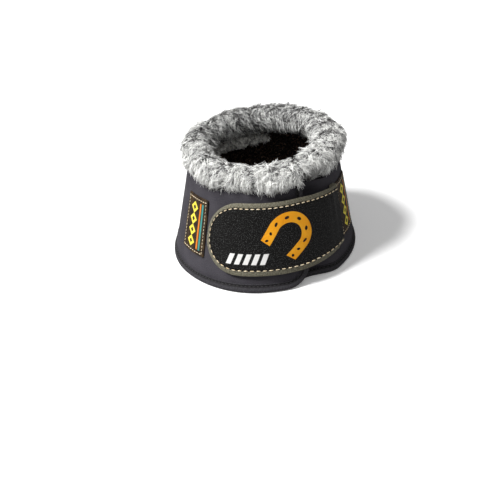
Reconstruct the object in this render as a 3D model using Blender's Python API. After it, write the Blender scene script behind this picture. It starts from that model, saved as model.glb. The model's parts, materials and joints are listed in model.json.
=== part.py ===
"""A fleece-collared overreach (bell) boot, fastened, standing on its hem. Metres, +Z up.

The wrap is a cone of foam-backed cloth that runs once round the hoof and laps over itself at the front.
Angles are in degrees about +Z, from the front (-Y) towards +X. The wrap starts at its under flap, runs
behind the hoof and ends at its over flap, a little past a full turn. It bends along straight lines that all
meet in the cone's tip, so that it can be opened out flat.
"""
import math

import bmesh
import bpy
from mathutils import Matrix, Vector

# The wall: radii of its outer face, its height and its two layers
HEM_RADIUS = 0.082
NECK_RADIUS = 0.060
WALL_HEIGHT = 0.100
SHELL_THICKNESS = 0.0035
LINING_THICKNESS = 0.0020
CLEARANCE = 0.0003

# How far the soft wall slumps sideways and forwards for each metre of height
LEAN_RIGHT = 0.050
LEAN_FRONT = 0.030

# The fold lines run just outside the wall's outer face
FOLD_OFFSET = 0.0016
FIRST_FOLD = 47.7
SEGMENT_ANGLE = 39.83
UNDER_FLAP_END = -4.0
OVER_FLAP_END = 386.0
FOLD_OPEN = 37.0
COLUMN_ANGLE = 4.8
ROWS = 3

# The lap: how far the under flap lies inside the wall, and where it has dived that far
UNDER_FLAP_DEPTH = 0.0088
DIVE_END = 27.5
UNDER_FLAP_DROP = 0.0015
UNDER_FLAP_CORNER = 0.018
OVER_FLAP_CORNER = 0.020
CORNER_STEPS = 6

# The binding that is folded over the hem and up the over flap's end
BINDING_THICKNESS = 0.0008
BINDING_WIDTH = 0.0080

# The fleece collar: a roll over the wall's top edge. Its middle lies inside and below the wall's top corner
COLLAR_RADIUS = 0.0135
COLLAR_SET_IN = 0.00627
COLLAR_DROP = 0.0035
COLLAR_END = 390.0
COLLAR_START = 32.0
COLLAR_POINTS = 16
COLLAR_TURN_MARGIN = 1.5

# Sewn labels, one on every second segment
LABEL_HEIGHT = 0.0485
LABEL_DROP = 0.0115
LABEL_ANGLE = 22.4
LABEL_THICKNESS = 0.0011

# The loop patch on the over flap
PATCH_INSET = 0.0050
PATCH_START = 335.0
PATCH_END = 378.8
PATCH_CORNER = 0.020
PATCH_THICKNESS = 0.0012

# The strap, from its sewn end to its rounded tip
STRAP_WIDTH = 0.0590
STRAP_DROP = 0.0067
STRAP_FIXED_END = 54.5
STRAP_FOLDS = (FIRST_FOLD, 21.0, -9.0)
STRAP_TIP = -38.5
STRAP_NARROW_BELOW = 0.0040
STRAP_NARROW_ABOVE = 0.0030
STRAP_CORNER = 0.028
STRAP_THICKNESS = 0.0018
HOOK_THICKNESS = 0.0012
HOOK_INSET = 0.0055
HOOK_START = 38.0
TACK_WIDTH = 0.0050
TACK_HEIGHT = 0.0045
TACK_THICKNESS = 0.0010

SEGMENTS = ("under_flap", "right_front", "right_side", "right_back", "back",
            "left_back", "left_side", "left_front", "front", "over_flap")
ROOT_SEGMENT = "back"
LABELLED = ("right_front", "right_back", "left_back", "left_front")
STRAP_PARTS = ("near", "middle", "tip")

SLOPE = (HEM_RADIUS - NECK_RADIUS) / WALL_HEIGHT
LINING_FACE = SHELL_THICKNESS + CLEARANCE
WALL_THICKNESS = LINING_FACE + LINING_THICKNESS
EDGE = BINDING_THICKNESS + CLEARANCE
COLLAR_HEIGHT = WALL_HEIGHT - COLLAR_DROP
COLLAR_RING_RADIUS = HEM_RADIUS - SLOPE * COLLAR_HEIGHT - COLLAR_SET_IN
COLLAR_BOTTOM = COLLAR_HEIGHT - COLLAR_RADIUS
UNDER_FLAP_TOP = COLLAR_BOTTOM - UNDER_FLAP_DROP
STRAP_TOP = COLLAR_BOTTOM - STRAP_DROP
STRAP_BOTTOM = STRAP_TOP - STRAP_WIDTH
PATCH_BOTTOM = STRAP_BOTTOM + PATCH_INSET
PATCH_TOP = STRAP_TOP - PATCH_INSET
PATCH_FACE = CLEARANCE + PATCH_THICKNESS
HOOK_FACE = PATCH_FACE + CLEARANCE
STRAP_FACE = HOOK_FACE + HOOK_THICKNESS + CLEARANCE
STRAP_OUTSIDE = STRAP_FACE + STRAP_THICKNESS
STRAP_FOLD_OFFSET = STRAP_OUTSIDE + CLEARANCE
FOLDS = [FIRST_FOLD + SEGMENT_ANGLE * index for index in range(len(SEGMENTS) - 1)]
LIMITS = [UNDER_FLAP_END] + FOLDS + [OVER_FLAP_END]

COLOURS = {
    "neoprene": ((0.066, 0.062, 0.082), 0.78, 0.0),
    "lining": ((0.012, 0.009, 0.008), 0.95, 0.0),
    "fleece": ((0.330, 0.325, 0.310), 0.96, 0.0),
    "binding": ((0.022, 0.021, 0.022), 0.70, 0.0),
    "strap": ((0.016, 0.015, 0.016), 0.42, 0.0),
    "loop_tape": ((0.014, 0.013, 0.016), 0.90, 0.0),
    "hook_tape": ((0.018, 0.018, 0.020), 0.60, 0.0),
    "label": ((0.130, 0.095, 0.040), 0.45, 0.2),
}


def clear_scene():
    for item in list(bpy.data.objects):
        bpy.data.objects.remove(item, do_unlink=True)


def make_material(name):
    colour, roughness, metallic = COLOURS[name]
    material = bpy.data.materials.new(name)
    material.use_nodes = True
    shader = material.node_tree.nodes["Principled BSDF"]
    shader.inputs["Base Color"].default_value = (*colour, 1.0)
    shader.inputs["Roughness"].default_value = roughness
    shader.inputs["Metallic"].default_value = metallic
    material.diffuse_color = (*colour, 1.0)
    return material


def wall_radius(height):
    return HEM_RADIUS - SLOPE * height


def ring_point(turn, radius, height):
    """A point by its turn in radians, its radius and its height, with the slump of the soft wall."""
    return Vector((radius * math.sin(turn) + LEAN_RIGHT * height,
                   -radius * math.cos(turn) - LEAN_FRONT * height, height))


def wall_point(angle, height, offset):
    """A point by its angle, its height and how far out it lies from the wall's outer face."""
    return ring_point(math.radians(angle), wall_radius(height) + offset, height)


def arc_angle(length, height):
    """The angle that a length along the wall takes up at a height."""
    return math.degrees(length / wall_radius(height))


def ease(share):
    return share * share * (3.0 - 2.0 * share)


def dive(angle):
    """How far the under flap has moved inwards: nothing at its fold, all of it under the over flap."""
    share = (FIRST_FOLD - angle) / (FIRST_FOLD - DIVE_END)
    return -UNDER_FLAP_DEPTH * ease(min(max(share, 0.0), 1.0))


def spread(start, end, step=COLUMN_ANGLE):
    """Angles from start to end, evenly spaced, no further apart than step."""
    count = max(1, math.ceil(abs(end - start) / step))
    return [start + (end - start) * index / count for index in range(count + 1)]


def finish_object(name, mesh_data, material, body):
    """Turns a bmesh into a named object that its body's empty carries."""
    bmesh.ops.recalc_face_normals(mesh_data, faces=mesh_data.faces[:])
    if mesh_data.calc_volume(signed=True) < 0.0:
        bmesh.ops.reverse_faces(mesh_data, faces=mesh_data.faces[:])
    mesh = bpy.data.meshes.new(name)
    mesh_data.to_mesh(mesh)
    mesh_data.free()
    mesh.shade_smooth()
    mesh.set_sharp_from_angle(angle=math.radians(35.0))
    mesh.materials.append(material)
    item = bpy.data.objects.new(name, mesh)
    bpy.context.scene.collection.objects.link(item)
    item.parent = body
    # The mesh is drawn in world places, so it is brought back to its empty's frame
    mesh.transform(body.matrix_world.inverted())
    return item


def panel(name, columns, inner, outer, material, body, shift=None, rows=ROWS):
    """A curved slab. columns are (angle, bottom, top); inner and outer are offsets from the wall's face."""
    mesh_data = bmesh.new()
    count = len(columns) - 1
    bmesh.ops.create_grid(mesh_data, x_segments=count, y_segments=rows, size=0.5)
    raised = bmesh.ops.extrude_face_region(mesh_data, geom=mesh_data.faces[:])
    bmesh.ops.translate(mesh_data, verts=[v for v in raised["geom"] if isinstance(v, bmesh.types.BMVert)],
                        vec=(0.0, 0.0, 1.0))
    for vert in mesh_data.verts:
        angle, bottom, top = columns[round((vert.co.x + 0.5) * count)]
        height = bottom + (top - bottom) * (vert.co.y + 0.5)
        offset = inner + (outer - inner) * vert.co.z
        if shift:
            offset += shift(angle)
        vert.co = wall_point(angle, height, offset)
    return finish_object(name, mesh_data, material, body)


def prism(profile, steps):
    """A straight bar of a closed profile in XY, with one face ring for each whole number in Z."""
    mesh_data = bmesh.new()
    face = mesh_data.faces.new([mesh_data.verts.new((x, y, 0.0)) for x, y in profile])
    for step in range(steps):
        raised = bmesh.ops.extrude_face_region(mesh_data, geom=[face])
        fresh = raised["geom"]
        if step:
            bmesh.ops.delete(mesh_data, geom=[face], context="FACES_ONLY")
        bmesh.ops.translate(mesh_data, verts=[v for v in fresh if isinstance(v, bmesh.types.BMVert)],
                            vec=(0.0, 0.0, 1.0))
        face = next(f for f in fresh if isinstance(f, bmesh.types.BMFace))
    return mesh_data


def segment_limits(index, gap=CLEARANCE):
    """A segment's two angles, drawn in by half a gap where it meets a neighbour."""
    low, high = LIMITS[index], LIMITS[index + 1]
    half = arc_angle(gap / 2, WALL_HEIGHT)
    if index > 0:
        low += half
    if index < len(SEGMENTS) - 1:
        high -= half
    return low, high


def corner_columns(end, towards, radius, bottom, top, inset=0.0):
    """Columns of a rounded lower corner that ends at an angle. towards is 1 where angles grow to the end."""
    reach = radius - inset
    middle = bottom + radius
    columns = []
    for step in range(CORNER_STEPS + 1):
        turn = math.radians(90.0) * step / CORNER_STEPS
        height = middle - reach * math.cos(turn)
        back = radius - reach * math.sin(turn)
        columns.append((end - towards * arc_angle(back, middle), height, top))
    return columns


def flap_columns(end, towards, radius, fold, top, inset):
    """A flap's outline: level hem, rounded corner, end. inset is its distance inside the hem's edge."""
    corner = corner_columns(end, towards, radius, 0.0, top, inset)
    level = [(angle, inset, top) for angle in spread(fold, corner[0][0])]
    return level[:-1] + corner


def binding_profile():
    """The folded strip, as (distance in from the edge, offset): outside, round the edge, inside."""
    outside = CLEARANCE + BINDING_THICKNESS
    inside = -WALL_THICKNESS - CLEARANCE - BINDING_THICKNESS
    return [
        (0.0, outside), (BINDING_WIDTH, outside), (BINDING_WIDTH, CLEARANCE),
        (BINDING_THICKNESS, CLEARANCE), (BINDING_THICKNESS, -WALL_THICKNESS - CLEARANCE),
        (BINDING_WIDTH, -WALL_THICKNESS - CLEARANCE), (BINDING_WIDTH, inside), (0.0, inside),
    ]


def binding(name, edge, material, body, shift=None):
    """Sweeps the folded strip along an edge, given as (angle, height, inward arc share, inward rise share)."""
    mesh_data = prism(binding_profile(), len(edge) - 1)
    for vert in mesh_data.verts:
        angle, height, arc_share, rise_share = edge[round(vert.co.z)]
        inward = vert.co.x
        level = height + inward * rise_share
        turned = angle + arc_angle(inward * arc_share, level)
        offset = vert.co.y
        if shift:
            offset += shift(turned)
        vert.co = wall_point(turned, level, offset)
    return finish_object(name, mesh_data, material, body)


def flap_edge(end, towards, radius, fold, top):
    """Along a flap's hem, round its corner and up its end. towards is 1 where angles grow to the end."""
    start = end - towards * arc_angle(radius, radius)
    edge = [(angle, 0.0, 0.0, 1.0) for angle in spread(fold, start)][:-1]
    for step in range(CORNER_STEPS + 1):
        turn = math.radians(90.0) * step / CORNER_STEPS
        back = radius * (1.0 - math.sin(turn))
        angle = end - towards * arc_angle(back, radius)
        edge.append((angle, radius * (1.0 - math.cos(turn)), -towards * math.sin(turn), math.cos(turn)))
    edge.append((end, top, -towards, 0.0))
    return edge


def collar_profile(slotted):
    """The roll's outline as (radius, height), with a slot that the wall's top edge fills."""
    outer = [wall_radius(COLLAR_HEIGHT) + CLEARANCE - COLLAR_RING_RADIUS,
             wall_radius(COLLAR_HEIGHT) - WALL_THICKNESS - CLEARANCE - COLLAR_RING_RADIUS]
    if not slotted:
        return [(COLLAR_RING_RADIUS + COLLAR_RADIUS * math.cos(math.tau * index / COLLAR_POINTS),
                 COLLAR_HEIGHT + COLLAR_RADIUS * math.sin(math.tau * index / COLLAR_POINTS))
                for index in range(COLLAR_POINTS)]
    first, last = (-math.acos(reach / COLLAR_RADIUS) for reach in outer)
    # The slot leans with the wall, so its mouth is worked out again where the roll's under side is
    points = []
    for index in range(COLLAR_POINTS + 1):
        turn = first + (math.tau + last - first) * index / COLLAR_POINTS
        points.append((COLLAR_RING_RADIUS + COLLAR_RADIUS * math.cos(turn),
                       COLLAR_HEIGHT + COLLAR_RADIUS * math.sin(turn)))
    low_out, low_in = points[0][1], points[-1][1]
    points[0] = (wall_radius(low_out) + CLEARANCE, low_out)
    points[-1] = (wall_radius(low_in) - WALL_THICKNESS - CLEARANCE, low_in)
    top = WALL_HEIGHT + CLEARANCE
    points.append((wall_radius(top) - WALL_THICKNESS - CLEARANCE, top))
    points.append((wall_radius(top) + CLEARANCE, top))
    return points


def collar(name, low, high, open_low, open_high, slotted, material, body):
    """One stretch of the roll. An end at a fold is bevelled outside the fold, so that it can open."""
    angles = spread(low, high)
    mesh_data = prism(collar_profile(slotted), len(angles) - 1)
    slant = math.tan(math.radians(FOLD_OPEN / 2 + COLLAR_TURN_MARGIN))
    for vert in mesh_data.verts:
        index = round(vert.co.z)
        radius, height = vert.co.x, vert.co.y
        beyond = max(0.0, radius - wall_radius(height) - FOLD_OFFSET)
        turn = math.radians(angles[index])
        drawn = math.atan(beyond * slant / radius)
        if index == 0 and open_low:
            turn += drawn
        if index == len(angles) - 1 and open_high:
            turn -= drawn
        vert.co = ring_point(turn, radius, height)
    return finish_object(name, mesh_data, material, body)


def fold_empty(name, angle, offset, parent):
    """An empty on a fold line, with its Z along the line, that carries the pieces beyond the fold."""
    low = wall_point(angle, 0.0, offset)
    high = wall_point(angle, WALL_HEIGHT, offset)
    along = (high - low).normalized()
    across = Vector((math.cos(math.radians(angle)), math.sin(math.radians(angle)), 0.0))
    across = (across - along * across.dot(along)).normalized()
    world = Matrix.Translation(low) @ Matrix((across, along.cross(across), along)).transposed().to_4x4()
    empty = bpy.data.objects.new(name, None)
    empty.empty_display_size = BINDING_WIDTH
    bpy.context.scene.collection.objects.link(empty)
    empty.parent = parent
    empty.matrix_world = world
    bpy.context.view_layer.update()
    return empty


def make_bodies():
    """One empty for each body. The back stays still and the others fold away from it on both sides."""
    root = bpy.data.objects.new("body_" + ROOT_SEGMENT, None)
    bpy.context.scene.collection.objects.link(root)
    bodies = {ROOT_SEGMENT: root}
    middle = SEGMENTS.index(ROOT_SEGMENT)
    for index in range(middle - 1, -1, -1):
        parent = bodies[SEGMENTS[index + 1]]
        bodies[SEGMENTS[index]] = fold_empty("body_" + SEGMENTS[index], FOLDS[index], FOLD_OFFSET, parent)
    for index in range(middle + 1, len(SEGMENTS)):
        parent = bodies[SEGMENTS[index - 1]]
        bodies[SEGMENTS[index]] = fold_empty("body_" + SEGMENTS[index], FOLDS[index - 1], FOLD_OFFSET, parent)
    carrier = bodies["right_front"]
    for part, angle in zip(STRAP_PARTS, STRAP_FOLDS):
        carrier = fold_empty("body_strap_" + part, angle, STRAP_FOLD_OFFSET, carrier)
        bodies["strap_" + part] = carrier
    return bodies


def make_wrap(bodies, materials):
    """Shell, lining, hem binding and collar of every segment."""
    last = len(SEGMENTS) - 1
    for index, segment in enumerate(SEGMENTS):
        body = bodies[segment]
        low, high = segment_limits(index)
        shift = None
        if index == 0:
            shift = dive
            columns = flap_columns(low, -1, UNDER_FLAP_CORNER, high, UNDER_FLAP_TOP, EDGE)
            edge = flap_edge(low, -1, UNDER_FLAP_CORNER, high, UNDER_FLAP_TOP)
        elif index == last:
            columns = flap_columns(high, 1, OVER_FLAP_CORNER, low, WALL_HEIGHT, EDGE)
            edge = flap_edge(high, 1, OVER_FLAP_CORNER, low, COLLAR_BOTTOM)
        else:
            columns = [(angle, EDGE, WALL_HEIGHT) for angle in spread(low, high)]
            edge = [(angle, 0.0, 0.0, 1.0) for angle in spread(low, high)]
        panel("shell_" + segment, columns, -SHELL_THICKNESS, 0.0, materials["neoprene"], body, shift)
        panel("lining_" + segment, columns, -WALL_THICKNESS, -LINING_FACE, materials["lining"], body, shift)
        binding("hem_binding_" + segment, edge, materials["binding"], body, shift)
        start = COLLAR_START if index == 0 else low
        end = COLLAR_END if index == last else high
        collar("collar_" + segment, start, end, index != 0, index != last, index != 0, materials["fleece"], body)


def make_labels(bodies, materials):
    """A sewn label in the middle of every second segment."""
    top = COLLAR_BOTTOM - LABEL_DROP
    bottom = top - LABEL_HEIGHT
    for segment in LABELLED:
        index = SEGMENTS.index(segment)
        middle = (LIMITS[index] + LIMITS[index + 1]) / 2
        columns = [(angle, bottom, top) for angle in spread(middle - LABEL_ANGLE / 2, middle + LABEL_ANGLE / 2)]
        panel("label_" + segment, columns, CLEARANCE, CLEARANCE + LABEL_THICKNESS, materials["label"],
              bodies[segment])


def rounded_columns(tip, corner, bottom, top, inset=0.0):
    """Columns of an end that is rounded above and below. The angles grow away from the tip."""
    reach = corner - inset
    height = (bottom + top) / 2
    columns = []
    for step in range(CORNER_STEPS + 1):
        turn = math.radians(90.0) * step / CORNER_STEPS
        back = corner - reach * math.cos(turn)
        drop = corner - reach * math.sin(turn)
        columns.append((tip + arc_angle(back, height), bottom + drop, top - drop))
    return columns


def make_patch(bodies, materials):
    """The loop tape on the over flap, split at the fold that it crosses."""
    fold = FOLDS[-1]
    half = arc_angle(CLEARANCE / 2, WALL_HEIGHT)
    tip = rounded_columns(PATCH_START, PATCH_CORNER, PATCH_BOTTOM, PATCH_TOP)
    rest = [(angle, PATCH_BOTTOM, PATCH_TOP) for angle in spread(tip[-1][0], fold - half)]
    panel("loop_patch_front", tip + rest[1:], CLEARANCE, PATCH_FACE, materials["loop_tape"], bodies["front"])
    columns = [(angle, PATCH_BOTTOM, PATCH_TOP) for angle in spread(fold + half, PATCH_END)]
    panel("loop_patch_over_flap", columns, CLEARANCE, PATCH_FACE, materials["loop_tape"], bodies["over_flap"])


def taper(columns):
    """Narrows the strap little by little, from its middle fold to its sewn end."""
    start = STRAP_FOLDS[1]
    tapered = []
    for angle, bottom, top in columns:
        share = max(0.0, angle - start) / (STRAP_FIXED_END - start)
        tapered.append((angle, bottom + STRAP_NARROW_BELOW * share, top - STRAP_NARROW_ABOVE * share))
    return tapered


def strap_columns(low, high, inset):
    bottom, top = STRAP_BOTTOM + inset, STRAP_TOP - inset
    return [(angle, bottom, top) for angle in spread(low, high)]


def make_strap(bodies, materials):
    """The strap's sewn end, then three stretches, each with its hook tape, the last with a rounded tip."""
    half = arc_angle(CLEARANCE / 2, WALL_HEIGHT)
    carrier = bodies["right_front"]
    fixed = STRAP_FOLDS[0] + half
    sewn = taper(strap_columns(fixed, STRAP_FIXED_END, 0.0))
    panel("strap_sewn_end", sewn, CLEARANCE, STRAP_OUTSIDE, materials["strap"], carrier)
    tack_end = fixed + arc_angle(TACK_WIDTH, STRAP_BOTTOM)
    tack_top = sewn[0][1] - CLEARANCE
    panel("strap_bar_tack", [(fixed, tack_top - TACK_HEIGHT, tack_top), (tack_end, tack_top - TACK_HEIGHT, tack_top)],
          CLEARANCE, CLEARANCE + TACK_THICKNESS, materials["binding"], carrier, rows=1)
    ends = STRAP_FOLDS[1:] + (STRAP_TIP,)
    for index, part in enumerate(STRAP_PARTS):
        high = STRAP_FOLDS[index] - half
        low = ends[index] + half
        hook_high = min(high, HOOK_START)
        if part == "tip":
            face = rounded_columns(STRAP_TIP, STRAP_CORNER, STRAP_BOTTOM, STRAP_TOP)
            face += strap_columns(face[-1][0], high, 0.0)[1:]
            hooks = rounded_columns(STRAP_TIP, STRAP_CORNER, STRAP_BOTTOM, STRAP_TOP, HOOK_INSET)
            hooks += strap_columns(hooks[-1][0], hook_high, HOOK_INSET)[1:]
        else:
            face = strap_columns(low, high, 0.0)
            hooks = strap_columns(low, hook_high, HOOK_INSET)
        body = bodies["strap_" + part]
        panel("strap_face_" + part, taper(face), STRAP_FACE, STRAP_OUTSIDE, materials["strap"], body)
        panel("strap_hooks_" + part, taper(hooks), HOOK_FACE, HOOK_FACE + HOOK_THICKNESS, materials["hook_tape"],
              body)


def main():
    clear_scene()
    materials = {name: make_material(name) for name in COLOURS}
    bodies = make_bodies()
    make_wrap(bodies, materials)
    make_labels(bodies, materials)
    make_patch(bodies, materials)
    make_strap(bodies, materials)
    bpy.context.view_layer.update()
    count = sum(1 for item in bpy.data.objects if item.type == "MESH")
    print("pieces:", count)


main()
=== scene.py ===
# A fleece-collared overreach boot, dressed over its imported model.
# Metres, +Z up. Angles are in degrees about +Z, from the front (-Y) towards +X.
import json
import math
import random

import bmesh
import bpy
import numpy as np
from mathutils import Matrix, Vector, noise

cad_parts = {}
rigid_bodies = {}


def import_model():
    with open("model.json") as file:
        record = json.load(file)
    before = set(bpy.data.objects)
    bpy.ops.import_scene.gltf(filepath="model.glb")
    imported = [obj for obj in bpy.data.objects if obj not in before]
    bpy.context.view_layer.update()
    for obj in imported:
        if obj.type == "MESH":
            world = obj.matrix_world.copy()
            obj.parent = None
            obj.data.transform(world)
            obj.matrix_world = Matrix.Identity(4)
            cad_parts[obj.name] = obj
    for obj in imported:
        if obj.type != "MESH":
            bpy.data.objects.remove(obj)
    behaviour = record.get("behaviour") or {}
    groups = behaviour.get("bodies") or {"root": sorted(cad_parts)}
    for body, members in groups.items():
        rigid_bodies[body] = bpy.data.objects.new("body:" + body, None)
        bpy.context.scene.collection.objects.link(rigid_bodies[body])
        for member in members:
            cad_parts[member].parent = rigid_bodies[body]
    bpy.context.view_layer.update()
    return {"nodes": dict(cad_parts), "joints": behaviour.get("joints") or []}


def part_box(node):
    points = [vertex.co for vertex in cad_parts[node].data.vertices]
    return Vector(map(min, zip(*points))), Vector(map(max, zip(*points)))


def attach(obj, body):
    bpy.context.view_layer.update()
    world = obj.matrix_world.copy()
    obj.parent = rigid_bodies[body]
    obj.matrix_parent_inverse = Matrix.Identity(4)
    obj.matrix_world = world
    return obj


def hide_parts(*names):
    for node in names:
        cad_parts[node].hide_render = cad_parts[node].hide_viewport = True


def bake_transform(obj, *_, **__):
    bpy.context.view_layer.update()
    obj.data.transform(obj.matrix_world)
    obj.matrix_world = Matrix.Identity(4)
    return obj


noise.seed_set(21)  # or noise vectors depend on the time of day
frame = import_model()


wrap = {
    "hemRadius": 0.082,  # of the outer face, at the floor
    "neckRadius": 0.060,  # of the outer face, at the top
    "height": 0.100,
    "shell": 0.0035,
    "lining": 0.0020,
    "gap": 0.0003,  # between layers
    "lean": (0.050, -0.030),  # how far the soft wall slumps for each metre of height
    "start": -4.0,  # the under flap's end
    "end": 386.0,  # the over flap's end, a full turn further on
    "flapDepth": 0.0088,  # how far the under flap has dived under the over flap
    "diveEnd": 27.5,
    "startCorner": 0.018,
    "endCorner": 0.020,
    "flatRadius": 0.0776,  # the radius at which the flat pattern has its true width
    "columnStep": 0.0026,
    "rowStep": 0.0048,
    "wave": 0.0005,  # slow unevenness of the soft wall
    "waveLength": 0.042,
    "foldReach": 0.0165,  # half the width of a bend, when the wrap is opened
    "beyond": 999.0,  # an angle past either end
}

segments = ["under_flap", "right_front", "right_side", "right_back", "back",
            "left_back", "left_side", "left_front", "front", "over_flap"]


def foldAngle(one, other):
    joint = next(j for j in frame["joints"] if {j["parent"], j["child"]} == {one, other})
    x, y, _ = joint["pos_m"]
    return math.degrees(math.atan2(x, -y))


folds = []
for one, other in zip(segments, segments[1:]):
    angle = foldAngle(one, other) % 360
    folds.append(angle + 360 if folds and angle < folds[-1] else angle)

slope = (wrap["hemRadius"] - wrap["neckRadius"]) / wrap["height"]
wallDepth = wrap["shell"] + wrap["gap"] + wrap["lining"]
halfSegment = (folds[1] - folds[0]) / 2


def wallRadius(height):
    return wrap["hemRadius"] - slope * height


def onRing(angle, radius, height):
    turn = math.radians(angle)
    right, back = wrap["lean"]
    return Vector((radius * math.sin(turn) + right * height, -radius * math.cos(turn) + back * height, height))


def onWall(angle, height, offset=0.0):
    bare = onRing(angle, wallRadius(height), height)
    sway = wrap["wave"] * noise.noise(bare / wrap["waveLength"])
    return onRing(angle, wallRadius(height) + offset + sway, height)


def ease(share):
    share = min(max(share, 0.0), 1.0)
    return share * share * (3 - 2 * share)


def dive(angle):
    return -wrap["flapDepth"] * ease((folds[0] - angle) / (folds[0] - wrap["diveEnd"]))


# Every layer of the wrap is cut in the middle of each segment, so that each length spans one fold
lengths = [{"low": -wrap["beyond"], "high": folds[0] - halfSegment, "bodies": segments[:1]}]
for index, fold in enumerate(folds):
    lengths.append({"low": fold - halfSegment, "high": fold + halfSegment, "fold": fold,
                    "bodies": segments[index:index + 2]})
lengths.append({"low": folds[-1] + halfSegment, "high": wrap["beyond"], "bodies": segments[-1:]})


def carry(piece, length, reach=None):
    if "fold" not in length:
        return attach(piece, length["bodies"][0])
    height = wrap["height"] / 2
    radius = wallRadius(height)
    turn = math.degrees(math.asin((reach or wrap["foldReach"]) / radius))
    start = onRing(length["fold"] - turn, radius, height)
    end = onRing(length["fold"] + turn, radius, height)
    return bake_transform(piece, *length["bodies"], start=start, end=end)


class Value:  # a shader socket that takes part in sums
    def __init__(self, finish, socket):
        self.finish, self.socket = finish, socket

    def math(self, operation, *others, first=None):
        inputs = dict(enumerate([self if first is None else first, *others]))
        return self.finish.add("ShaderNodeMath", {"operation": operation}, inputs)

    def __add__(self, other):
        return self.math("ADD", other)

    def __sub__(self, other):
        return self.math("SUBTRACT", other)

    def __rsub__(self, other):
        return self.math("SUBTRACT", self, first=other)

    def __mul__(self, other):
        return self.math("MULTIPLY", other)

    def __truediv__(self, other):
        return self.math("DIVIDE", other)

    def sine(self):
        return self.math("SINE")

    def size(self):
        return self.math("ABSOLUTE")

    def repeat(self):
        return self.math("FRACT")

    def most(self, other):
        return self.math("MAXIMUM", other)

    def least(self, other):
        return self.math("MINIMUM", other)

    def between(self, low, high):  # 0 below low and 1 above high
        inputs = {0: self, 1: low, 2: high, 3: 0.0, 4: 1.0}
        return self.finish.add("ShaderNodeMapRange", {"interpolation_type": "SMOOTHSTEP"}, inputs)

    def beyond(self, limit, soft):
        return self.between(limit - soft, limit + soft)

    def within(self, limit, soft):
        return 1 - self.beyond(limit, soft)


class Finish:  # a material and the nodes that make it
    def __init__(self, name, roughness, **fixed):
        self.material = bpy.data.materials.new(name)
        self.material.use_nodes = True
        self.tree = self.material.node_tree
        self.shader = self.tree.nodes["Principled BSDF"]
        self.give("Roughness", roughness)
        for socket, value in fixed.items():
            self.give(socket.replace("_", " "), value)

    def add(self, kind, settings=None, inputs=None, output=0):
        node = self.tree.nodes.new(kind)
        for key, value in (settings or {}).items():
            if key == "stops":
                while len(node.color_ramp.elements) < len(value):
                    node.color_ramp.elements.new(0.5)
                for element, (place, colour) in zip(node.color_ramp.elements, value):
                    element.position, element.color = place, (*colour, 1.0)
            else:
                setattr(node, key, value)
        for key, value in (inputs or {}).items():
            self.fill(node.inputs[key], value)
        return Value(self, node.outputs[output])

    def fill(self, socket, value):
        if isinstance(value, Value):
            self.tree.links.new(value.socket, socket)
        elif socket.type == "RGBA" and len(value) == 3:
            socket.default_value = (*value, 1.0)
        else:
            socket.default_value = value

    def give(self, socket, value):
        self.fill(self.shader.inputs[socket], value)

    def flat(self):  # the piece's flat pattern, in metres: along, up
        place = self.add("ShaderNodeUVMap", {"uv_map": "flat"})
        return self.share(place, 0), self.share(place, 1), place

    def share(self, vector, axis):
        return self.add("ShaderNodeSeparateXYZ", {}, {0: vector}, output=axis)

    def measure(self, name):  # a number kept on the piece's vertices
        return self.add("ShaderNodeAttribute", {"attribute_name": name}, output=2)

    def place(self):
        return self.add("ShaderNodeTexCoord", output=3)

    def noise(self, vector, scale, detail=2.0, roughness=0.5):
        return self.add("ShaderNodeTexNoise", {},
                        {"Vector": vector, "Scale": scale, "Detail": detail, "Roughness": roughness})

    def cells(self, vector, scale):
        return self.add("ShaderNodeTexVoronoi", {}, {"Vector": vector, "Scale": scale})

    def mix(self, share, one, other):
        return self.add("ShaderNodeMix", {"data_type": "RGBA"}, {0: share, 6: one, 7: other}, output=2)

    def ramp(self, share, stops):
        return self.add("ShaderNodeValToRGB", {"stops": stops}, {0: share})

    def bump(self, height, depth, strength):
        self.give("Normal", self.add("ShaderNodeBump", {},
                                     {"Height": height, "Distance": depth, "Strength": strength}))


def along(angle, radius=wrap["flatRadius"]):
    return math.radians(angle) * radius


def heights(node):
    low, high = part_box(node)
    return {"low": low.z, "high": high.z}


def flatShape(points, rounds, turns=10):
    # A flat face from its corners, some of them rounded; rounds is {corner number: radius}
    shape = bmesh.new()
    corners = [shape.verts.new((x, y, 0.0)) for x, y in points]
    shape.faces.new(corners)
    for number, radius in rounds.items():
        bmesh.ops.bevel(shape, geom=[corners[number]], affect="VERTICES", offset=radius, segments=turns,
                        profile=0.5, offset_type="OFFSET", material=-1)
    return shape


def thicken(shape, low, high):
    # Gives a flat face its thickness and returns its upper face
    for vert in shape.verts:
        vert.co.z = low
    raised = bmesh.ops.extrude_face_region(shape, geom=shape.faces[:])["geom"]
    bmesh.ops.translate(shape, verts=[v for v in raised if isinstance(v, bmesh.types.BMVert)],
                        vec=(0, 0, high - low))
    return [f for f in raised if isinstance(f, bmesh.types.BMFace)]


def inset(shape, faces, places):
    # Rings round the edge, at the given distances in from it
    done = 0.0
    for place in places:
        bmesh.ops.inset_region(shape, faces=faces, thickness=place - done, use_even_offset=True)
        done = place


def cutAt(shape, axis, place):
    point, normal = Vector((0, 0, 0)), Vector((0, 0, 0))
    point[axis], normal[axis] = place, 1.0
    bmesh.ops.bisect_plane(shape, geom=shape.verts[:] + shape.edges[:] + shape.faces[:], dist=1e-6,
                           plane_co=point, plane_no=normal)


def cutAcross(shape, axis, step, clear=0.2):
    # Cuts the shape at even steps, to let it follow a curve; clear is the share of a step kept at its ends
    low = min(vert.co[axis] for vert in shape.verts)
    high = max(vert.co[axis] for vert in shape.verts)
    for index in range(math.ceil(low / step + clear), math.floor(high / step - clear) + 1):
        cutAt(shape, axis, index * step)


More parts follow.
